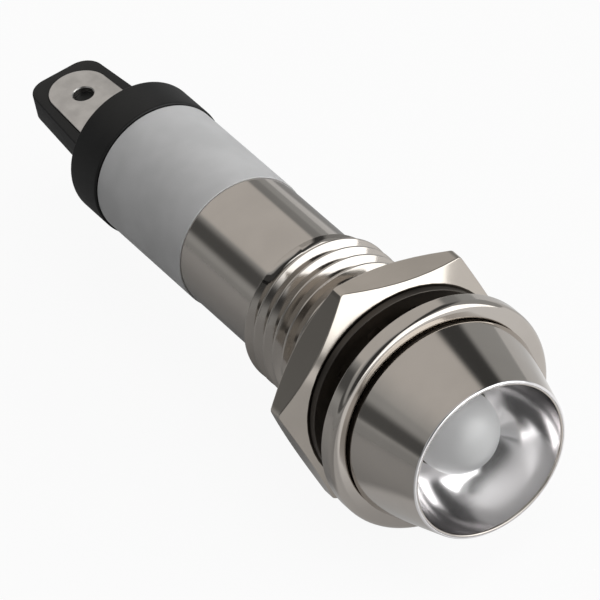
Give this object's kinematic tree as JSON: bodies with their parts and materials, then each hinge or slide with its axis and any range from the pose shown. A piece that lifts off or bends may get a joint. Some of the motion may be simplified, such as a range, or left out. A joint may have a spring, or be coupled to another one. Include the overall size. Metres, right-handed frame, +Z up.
{
  "type": "panel pilot light",
  "caption": "Small panel pilot light: conical metal head with a polished cup round a clear lamp, threaded neck with hex nut and lock washer, barrel, and solder lugs on an insulating tongue.",
  "frame": {"origin": "centre of the neck at the panel's front face, where the flange's rear face bears on the panel", "axes": "+Y along the axis towards the solder lugs, +Z up, square to the broad faces of the tongue, +X to the right when looking along +Y"},
  "size_m": [0.0156, 0.0474, 0.0156],
  "materials": {
    "housing": "polished nickel plate on turned brass",
    "nut": "nickel plate on brass",
    "washer": "blackened spring steel",
    "lens": "clear cast resin",
    "lamp_frame": "tinned steel strip",
    "chip": "semiconductor chip",
    "bond_wire": "fine gold wire",
    "moulding": "black moulded plastic",
    "tubing": "pale insulating tube",
    "resistor": "lacquered ceramic",
    "diode": "tinted glass",
    "tinned_wire": "tinned copper wire",
    "solder": "solder",
    "liner": "thin insulating film",
    "lug": "tinned brass sheet",
    "label": "plain matte film"
  },
  "bodies": {
    "light": {"housing": "housing", "lamp_lens": "lens", "lamp_anode": "lamp_frame", "lamp_cathode": "lamp_frame", "lamp_chip": "chip", "bond_wire": "bond_wire", "lamp_holder": "moulding", "lead_tubing": "tubing", "resistor_body": "resistor", "resistor_leads": "tinned_wire", "diode_body": "diode", "diode_leads": "tinned_wire", "solder_joints": "solder", "insulating_sleeve": "liner", "rear_cap": "moulding", "terminal_lug_top": "lug", "terminal_lug_bottom": "lug", "label_sleeve": "label"},
    "washer": {"lock_washer": "washer"},
    "nut": {"hex_nut": "nut"}
  },
  "joints": [
    {"name": "nut_travel", "type": "slide", "parent": "light", "child": "washer", "axis": [0, 1, 0], "range_m": [-0.00185, 0.00695]},
    {"name": "nut_turn", "type": "hinge", "parent": "washer", "child": "nut", "pos_m": [0, 0, 0], "axis": [0, 1, 0], "range_deg": [-648, 2484]}
  ],
  "couplings": [
    {"joint": "nut_travel", "follows": "nut_turn", "m_per_rad": 0.00015915}
  ]
}
